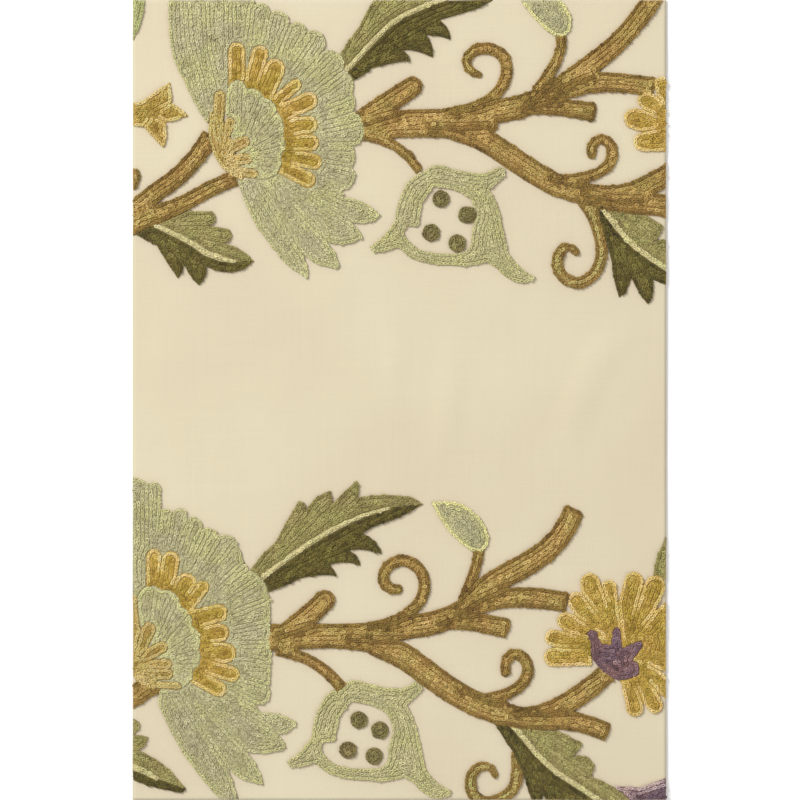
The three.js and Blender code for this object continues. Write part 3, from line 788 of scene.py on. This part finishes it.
class Bench:
    """A node tree on which nodes are laid and joined."""

    def __init__(self, tree):
        self.tree = tree

    def join(self, value, socket):
        """Leads another node's output into a socket, or sets the socket to a plain value."""
        if isinstance(value, bpy.types.NodeSocket):
            self.tree.links.new(value, socket)
        else:
            socket.default_value = value

    def add(self, kind, inputs=(), **settings):
        """Lays a node, and gives it its settings and then its inputs, by name or number."""
        node = self.tree.nodes.new(kind)
        for key, value in settings.items():
            setattr(node, key, value)
        for key, value in dict(inputs).items():
            self.join(value, node.inputs[key])
        return node

    def maths(self, operation, *values):
        """The result of one sum on outputs or plain numbers."""
        return self.add("ShaderNodeMath", enumerate(values), operation=operation).outputs[0]

    def attribute(self, name):
        """A value that a piece's points carry."""
        return self.add("ShaderNodeAttribute", attribute_name=name).outputs["Fac"]

    def grain(self, detail, scale=1.0, stretch=None):
        """Noise fixed to the piece, at one scale or stretched differently along each axis."""
        at = self.add("ShaderNodeTexCoord").outputs["Object"]
        if stretch:
            at = self.add("ShaderNodeMapping", {"Vector": at, "Scale": stretch}).outputs["Vector"]
        return self.add("ShaderNodeTexNoise", {"Vector": at, "Scale": scale, "Detail": detail}).outputs["Fac"]

    def ranged(self, value, low, high, start=0.3, end=0.7):
        """A value between start and end, put between low and high."""
        limits = {"From Min": start, "From Max": end, "To Min": low, "To Max": high}
        return self.add("ShaderNodeMapRange", {"Value": value, **limits}).outputs["Result"]

    def blend(self, kind, share, first, second):
        """Two colours mixed or multiplied."""
        colours = {"Factor": share, "A": first, "B": second}
        return self.add("ShaderNodeMix", colours, data_type="RGBA", blend_type=kind).outputs["Result"]

    def bump(self, height, strength, depth):
        """A surface's direction where it has a fine relief."""
        relief = {"Height": height, "Strength": strength, "Distance": depth}
        return self.add("ShaderNodeBump", relief).outputs["Normal"]


def yarn_loop(bench, given):
    """One stitch along X: a loop of round yarn, wider and higher at its head, marked with its height for the
    wool's painted shade.
    """
    at = bench.add("ShaderNodeSeparateXYZ", {0: bench.add("GeometryNodeInputPosition").outputs[0]})
    along, across, up = at.outputs
    half_length = bench.maths("MULTIPLY", given["Loop length"], 0.5)
    half_width = bench.maths("MULTIPLY", given["Loop width"], 0.5)
    taper = bench.maths("MULTIPLY_ADD", along, HEAD_WIDENING, MIDDLE_WIDTH)
    shape = bench.add(
        "ShaderNodeCombineXYZ",
        {
            "X": bench.maths("MULTIPLY", along, half_length),
            "Y": bench.maths("MULTIPLY", bench.maths("MULTIPLY", across, taper), half_width),
            "Z": bench.maths("MULTIPLY", along, given["Rise"]),
        },
    )
    circle = "GeometryNodeCurvePrimitiveCircle"
    ring = bench.add(circle, {"Resolution": LOOP_STEPS, "Radius": 1.0}, mode="RADIUS")
    section = bench.add(circle, {"Resolution": YARN_SIDES, "Radius": given["Yarn radius"]}, mode="RADIUS")
    path = bench.add("GeometryNodeSetPosition", {"Geometry": ring.outputs[0], "Position": shape.outputs[0]})
    curves = {"Curve": path.outputs[0], "Profile Curve": section.outputs[0]}
    yarn = bench.add("GeometryNodeCurveToMesh", curves)
    smooth = bench.add("GeometryNodeSetShadeSmooth", {"Geometry": yarn.outputs[0]})
    reach = bench.maths("ADD", given["Rise"], given["Yarn radius"])
    height_share = bench.maths("MULTIPLY_ADD", bench.maths("DIVIDE", up, reach), 0.5, 0.5)
    return bench.add(
        "GeometryNodeStoreNamedAttribute",
        {"Geometry": smooth.outputs[0], "Name": "height_share", "Value": height_share},
        data_type="FLOAT",
        domain="POINT",
    ).outputs[0]


def stitch_turn(bench, given):
    """How each stitch is turned: along its row, with a small sway of its own."""
    along = bench.add("GeometryNodeInputNamedAttribute", {"Name": "along"}, data_type="FLOAT_VECTOR")
    turned = bench.add(
        "FunctionNodeAlignRotationToVector",
        {"Vector": along.outputs["Attribute"]},
        axis="X",
        pivot_axis="Z",
    )
    most = bench.add("ShaderNodeVectorMath", {0: SWAY, "Scale": given["Unevenness"]}, operation="SCALE")
    least = bench.add("ShaderNodeVectorMath", {0: most.outputs[0], "Scale": -1}, operation="SCALE")
    sway = bench.add(
        "FunctionNodeRandomValue",
        {"Min": least.outputs[0], "Max": most.outputs[0], "Seed": given["Seed"]},
        data_type="FLOAT_VECTOR",
    )
    swayed = bench.add("FunctionNodeEulerToRotation", {0: sway.outputs["Value"]})
    return bench.add(
        "FunctionNodeRotateRotation",
        {"Rotation": turned.outputs[0], "Rotate By": swayed.outputs[0]},
        rotation_space="LOCAL",
    ).outputs[0]


def chain_stitch_tree():
    """Geometry Nodes: a loop of yarn on every point, turned along its row, over a bed of wool."""
    tree = bpy.data.node_groups.new("chain_stitches", "GeometryNodeTree")
    kinds = {
        "Geometry": "Geometry",
        "Bed": "Object",
        "Wool": "Material",
        "Loop length": "Float",
        "Loop width": "Float",
        "Rise": "Float",
        "Yarn radius": "Float",
        "Unevenness": "Float",
        "Seed": "Int",
    }
    sockets = {}
    for label, kind in kinds.items():
        socket = tree.interface.new_socket(label, in_out="INPUT", socket_type=f"NodeSocket{kind}")
        sockets[label] = socket.identifier
    tree.interface.new_socket("Geometry", in_out="OUTPUT", socket_type="NodeSocketGeometry")

    bench = Bench(tree)
    given = bench.add("NodeGroupInput").outputs
    least = bench.maths("SUBTRACT", 1.0, given["Unevenness"])
    most = bench.maths("ADD", 1.0, given["Unevenness"])
    size = bench.add("FunctionNodeRandomValue", {2: least, 3: most, "Seed": given["Seed"]}, data_type="FLOAT")
    stitches = bench.add(
        "GeometryNodeInstanceOnPoints",
        {
            "Points": given["Geometry"],
            "Instance": yarn_loop(bench, given),
            "Rotation": stitch_turn(bench, given),
            "Scale": size.outputs[1],
        },
    )
    bed = bench.add("GeometryNodeObjectInfo", {"Object": given["Bed"]}, transform_space="ORIGINAL")
    together = bench.add("GeometryNodeJoinGeometry", {0: stitches.outputs[0]})
    bench.join(bed.outputs["Geometry"], together.inputs[0])
    realized = bench.add("GeometryNodeRealizeInstances", {"Geometry": together.outputs[0]})
    finish = {"Geometry": realized.outputs[0], "Material": given["Wool"]}
    finished = bench.add("GeometryNodeSetMaterial", finish)
    bench.add("NodeGroupOutput", {0: finished.outputs[0]})
    return tree, sockets


def plain_mesh(maker, name):
    """A maker's evaluated shape as a new plain object, without its modifiers."""
    graph = bpy.context.evaluated_depsgraph_get()
    mesh = bpy.data.meshes.new_from_object(maker.evaluated_get(graph), depsgraph=graph)
    mesh.name = name
    return new_object(name, mesh)


def new_material(name, finish):
    """A material with its shader's own values set, its shader, and a bench to lay nodes on."""
    material = bpy.data.materials.new(name)
    material.use_nodes = True
    shader = material.node_tree.nodes["Principled BSDF"]
    for label, value in finish.items():
        shader.inputs[label].default_value = value
    return material, shader, Bench(material.node_tree)


def wool_material(name, tones, tints):
    """Matt wool whose tone and tint are each stitch's own, with painted shade that darkens the yarn where it
    lies lower, down between the strands.
    """
    material, shader, bench = new_material(f"{name}_wool", WOOL_FINISH)
    dye = bench.add("ShaderNodeValToRGB", {"Fac": bench.attribute("tone")})
    stops = dye.color_ramp.elements
    while len(stops) < len(tones):
        stops.new(0.5)
    for stop, (position, colour) in zip(stops, tones):
        stop.position = position
        stop.color = linear(colour)

    fibre = bench.grain(detail=4, scale=FIBRE_SCALE)
    fleck = bench.ranged(fibre, *FIBRE_FLECKS)
    # Painted shade: the colour is darker where the yarn lies lower, under each loop's head and down between
    # strands
    painted_shade = bench.ranged(bench.attribute("height_share"), *PAINTED_SHADE_BY_HEIGHT, 0.0, 1.0)
    first, second = [(*tint, 1) for tint in tints]
    tinted = bench.blend("MIX", bench.attribute("tint"), first, second)
    colour = dye.outputs["Color"]
    for factor in (fleck, painted_shade, tinted):
        colour = bench.blend("MULTIPLY", 1.0, colour, factor)
    bench.join(colour, shader.inputs["Base Color"])
    bench.join(bench.bump(fibre, *FIBRE_RELIEF), shader.inputs["Normal"])
    return material


def cotton_material():
    """Unbleached plain-woven cotton, with slubs both ways and a fine uneven weave."""
    material, shader, bench = new_material("unbleached_cotton", COTTON_FINISH)
    stain = bench.grain(detail=2, stretch=(STAIN_SCALE, STAIN_SCALE, STAIN_SCALE))
    warp = bench.grain(detail=2, stretch=(THREAD_SCALE, SLUB_SCALE, THREAD_SCALE))
    weft = bench.grain(detail=2, stretch=(SLUB_SCALE, THREAD_SCALE, THREAD_SCALE))
    speck = bench.grain(detail=2, stretch=(SPECK_SCALE, SPECK_SCALE, SPECK_SCALE))
    threads = bench.maths("ADD", warp, weft)
    pulled = bench.ranged(bench.attribute("near_stitching"), 0, 0.75, 0.0, 1.0)
    ground = bench.blend("MIX", bench.ranged(stain, 0, 1), linear(COTTON_LIGHT), linear(COTTON_DULL))
    ground = bench.blend("MIX", pulled, ground, linear(COTTON_NEAR_WOOL))
    ground = bench.blend("MULTIPLY", 1.0, ground, bench.ranged(threads, *THREAD_SHADES, 0.7, 1.3))
    ground = bench.blend("MULTIPLY", 1.0, ground, bench.ranged(speck, *SPECK_SHADES))
    bench.join(ground, shader.inputs["Base Color"])
    weave = bench.maths("MULTIPLY_ADD", speck, SPECK_IN_WEAVE, threads)
    bench.join(bench.bump(weave, *WEAVE_RELIEF), shader.inputs["Normal"])
    return material


def smooth_line(points, count=48):
    """A soft curve through three points, as even places along it."""
    first, middle, last = (place(point) for point in points)
    share = np.linspace(0, 1, count + 1)[:, None]
    handle = 2 * middle - (first + last) / 2
    return (1 - share) ** 2 * first + 2 * share * (1 - share) * handle + share ** 2 * last


def crease_height(x, y, lines):
    """How far the cloth lifts along its soft creases, in millimetres."""
    height = 0.0
    for crease, line in zip(CREASES, lines):
        distances = np.hypot(line[:, 0] - x, line[:, 1] - y)
        nearest = int(distances.argmin())
        across = min(1.0, distances[nearest] / crease["half"])
        along = math.sin(math.pi * nearest / (len(line) - 1))
        height += crease["height"] * along * math.cos(across * math.pi / 2) ** 2
    return height


def softened(values):
    """Each value as the mean of itself and its four neighbours."""
    padded = np.pad(values, 1, mode="edge")
    middle = padded[1:-1, 1:-1]
    return (middle + padded[:-2, 1:-1] + padded[2:, 1:-1] + padded[1:-1, :-2] + padded[1:-1, 2:]) / 5


def stitching_pull(worked_places, xs, ys):
    """How much each point of the cloth is pulled by the stitching on it or beside it, from 0 to 1."""
    pull = np.zeros((len(ys), len(xs)))
    for x, y in worked_places:
        pull[int(round((y - ys[0]) / CLOTH_CELL)), int(round((x - xs[0]) / CLOTH_CELL))] = 1
    for _ in range(PULL_ROUNDS):
        pull = softened(pull)
    return np.clip(pull * PULL_GAIN, 0, 1)


def sheet_faces(across, down):
    """Faces of a closed sheet: its top cells, its underside and the rim between them."""
    width = across + 1
    under = width * (down + 1)
    faces = []
    for row in range(down):
        for column in range(across):
            corner = row * width + column
            quad = (corner, corner + 1, corner + 1 + width, corner + width)
            faces.append(quad)
            faces.append(tuple(under + point for point in reversed(quad)))
    rim = list(range(width))
    rim += [row * width + across for row in range(1, down + 1)]
    rim += [down * width + column for column in range(across - 1, -1, -1)]
    rim += [row * width for row in range(down - 1, 0, -1)]
    for here, there in zip(rim, rim[1:] + rim[:1]):
        faces.append((there, here, under + here, under + there))
    return faces


def cloth_mesh(worked_places):
    """The ground cloth: a closed thin sheet with soft creases, puckered a little round the stitching."""
    across, down = int(CLOTH_WIDTH / CLOTH_CELL), int(CLOTH_LENGTH / CLOTH_CELL)
    xs = np.linspace(-CLOTH_WIDTH / 2, CLOTH_WIDTH / 2, across + 1)
    ys = np.linspace(-CLOTH_LENGTH / 2, CLOTH_LENGTH / 2, down + 1)
    pull = stitching_pull(worked_places, xs, ys)
    crease_lines = [smooth_line(crease["line"]) for crease in CREASES]
    tops, bottoms = [], []
    for row, y in enumerate(ys):
        for column, x in enumerate(xs):
            lift = crease_height(x, y, crease_lines)
            slack = uneven("slack", x, y) + uneven("ripple", x, y)
            pucker = pull[row, column] * uneven("pucker", x, y)
            tops.append((x * MM, y * MM, (CLOTH_THICKNESS + lift + slack + pucker) * MM))
            bottoms.append((x * MM, y * MM, lift * MM))
    mesh = bpy.data.meshes.new("ground_cloth_sheet")
    mesh.from_pydata(tops + bottoms, [], sheet_faces(across, down))
    mesh.polygons.foreach_set("use_smooth", [True] * len(mesh.polygons))
    near = mesh.attributes.new("near_stitching", "FLOAT", "POINT")
    near.data.foreach_set("value", list(pull.ravel()) * 2)
    return mesh


def stitching(index, name, outlines):
    """One worked piece as a plain mesh, its bed of wool and every stitch on it, and the stitches' places."""
    wool = MOTIFS[name]["wool"]
    places, ways, rows = stitches_for(name, outlines)
    row_tones = [chance.uniform(-ROW_SPECKLE, ROW_SPECKLE) for _ in range(max(rows) + 1)]
    layer = index * LAYER_STEP
    tones = []
    for point, row in zip(places, rows):
        speckle = row_tones[row] + chance.uniform(-1, 1) * SPECKLE[min(row, 1)]
        tones.append(tone_at(wool, point, row, speckle, layer))
    tints = [tint_at(wool, point, row, layer) for point, row in zip(places, rows)]
    bed = new_object(f"{name}_bed", bed_mesh(name, nearby_sides(name, outlines)))
    maker = new_object(f"{name}_points", points_mesh(f"{name}_points", places, ways, tones, tints))
    modifier = maker.modifiers.new("stitches", "NODES")
    modifier.node_group = tree
    values = {
        "Bed": bed,
        "Wool": materials[wool],
        "Loop length": LOOP_LENGTH * MM,
        "Loop width": LOOP_WIDTH * MM,
        "Rise": LOOP_RISE * MM,
        "Yarn radius": YARN_RADIUS * MM,
        "Unevenness": UNEVENNESS,
        "Seed": index,
    }
    for label, value in values.items():
        modifier[sockets[label]] = value
    piece = plain_mesh(maker, f"{name}_stitching")
    for helper in (maker, bed):
        bpy.data.objects.remove(helper)
    return piece, places


def add_floor():
    """A plain pale floor just under the cloth."""
    mesh = bpy.data.meshes.new("floor")
    sides = ((-1, -1), (1, -1), (1, 1), (-1, 1))
    corners = [(x * FLOOR_REACH, y * FLOOR_REACH, FLOOR_HEIGHT) for x, y in sides]
    mesh.from_pydata(corners, [], [(0, 1, 2, 3)])
    floor = new_object("floor", mesh)
    material, shader, _ = new_material("pale_floor", FLOOR_FINISH)
    shader.inputs["Base Color"].default_value = linear(FLOOR_COLOUR)
    floor.data.materials.append(material)


def add_camera():
    """Straight above the cloth, whose length fills the frame's height."""
    camera = bpy.data.cameras.new("camera")
    camera.sensor_width = SENSOR_WIDTH
    camera.lens = SENSOR_WIDTH * CAMERA_HEIGHT / (FRAME_PIXELS * MM_PER_PIXEL * MM)
    holder = new_object("camera", camera)
    middle = place((FRAME_PIXELS / 2, FRAME_PIXELS / 2))
    holder.location = (middle[0] * MM, middle[1] * MM, CAMERA_HEIGHT + CLOTH_THICKNESS * MM)
    bpy.context.scene.camera = holder


def add_lamp(name, position, size, power):
    """A soft square lamp that faces the middle of the cloth."""
    lamp = bpy.data.lights.new(name, "AREA")
    lamp.size = size
    lamp.energy = power
    holder = new_object(name, lamp)
    holder.location = position
    holder.rotation_euler = (-Vector(position)).to_track_quat("-Z", "Y").to_euler()


def add_room():
    """Even white light from all round, and the lamps."""
    world = bpy.data.worlds.new("soft_room")
    world.use_nodes = True
    background = world.node_tree.nodes["Background"]
    background.inputs["Color"].default_value = (1, 1, 1, 1)
    background.inputs["Strength"].default_value = ROOM_LIGHT
    bpy.context.scene.world = world
    bpy.context.scene.view_settings.view_transform = "Standard"
    for name, lamp in LAMPS.items():
        add_lamp(name, **lamp)


# The stitched pieces
tree, sockets = chain_stitch_tree()
materials = {name: wool_material(name, wool["tones"], wool["tints"]) for name, wool in WOOLS.items()}
outlines = {name: outline_of(name) for name in MOTIFS}
worked_places = []
for index, name in enumerate(sorted(MOTIFS)):
    piece, places = stitching(index, name, outlines)
    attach(piece, "root")
    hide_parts(name)
    worked_places += list(places)

# The ground cloth
cloth = new_object("ground_cloth_sheet", cloth_mesh(worked_places))
cloth.data.materials.append(cotton_material())
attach(cloth, "root")
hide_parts("ground_cloth")

add_floor()
add_camera()
add_room()
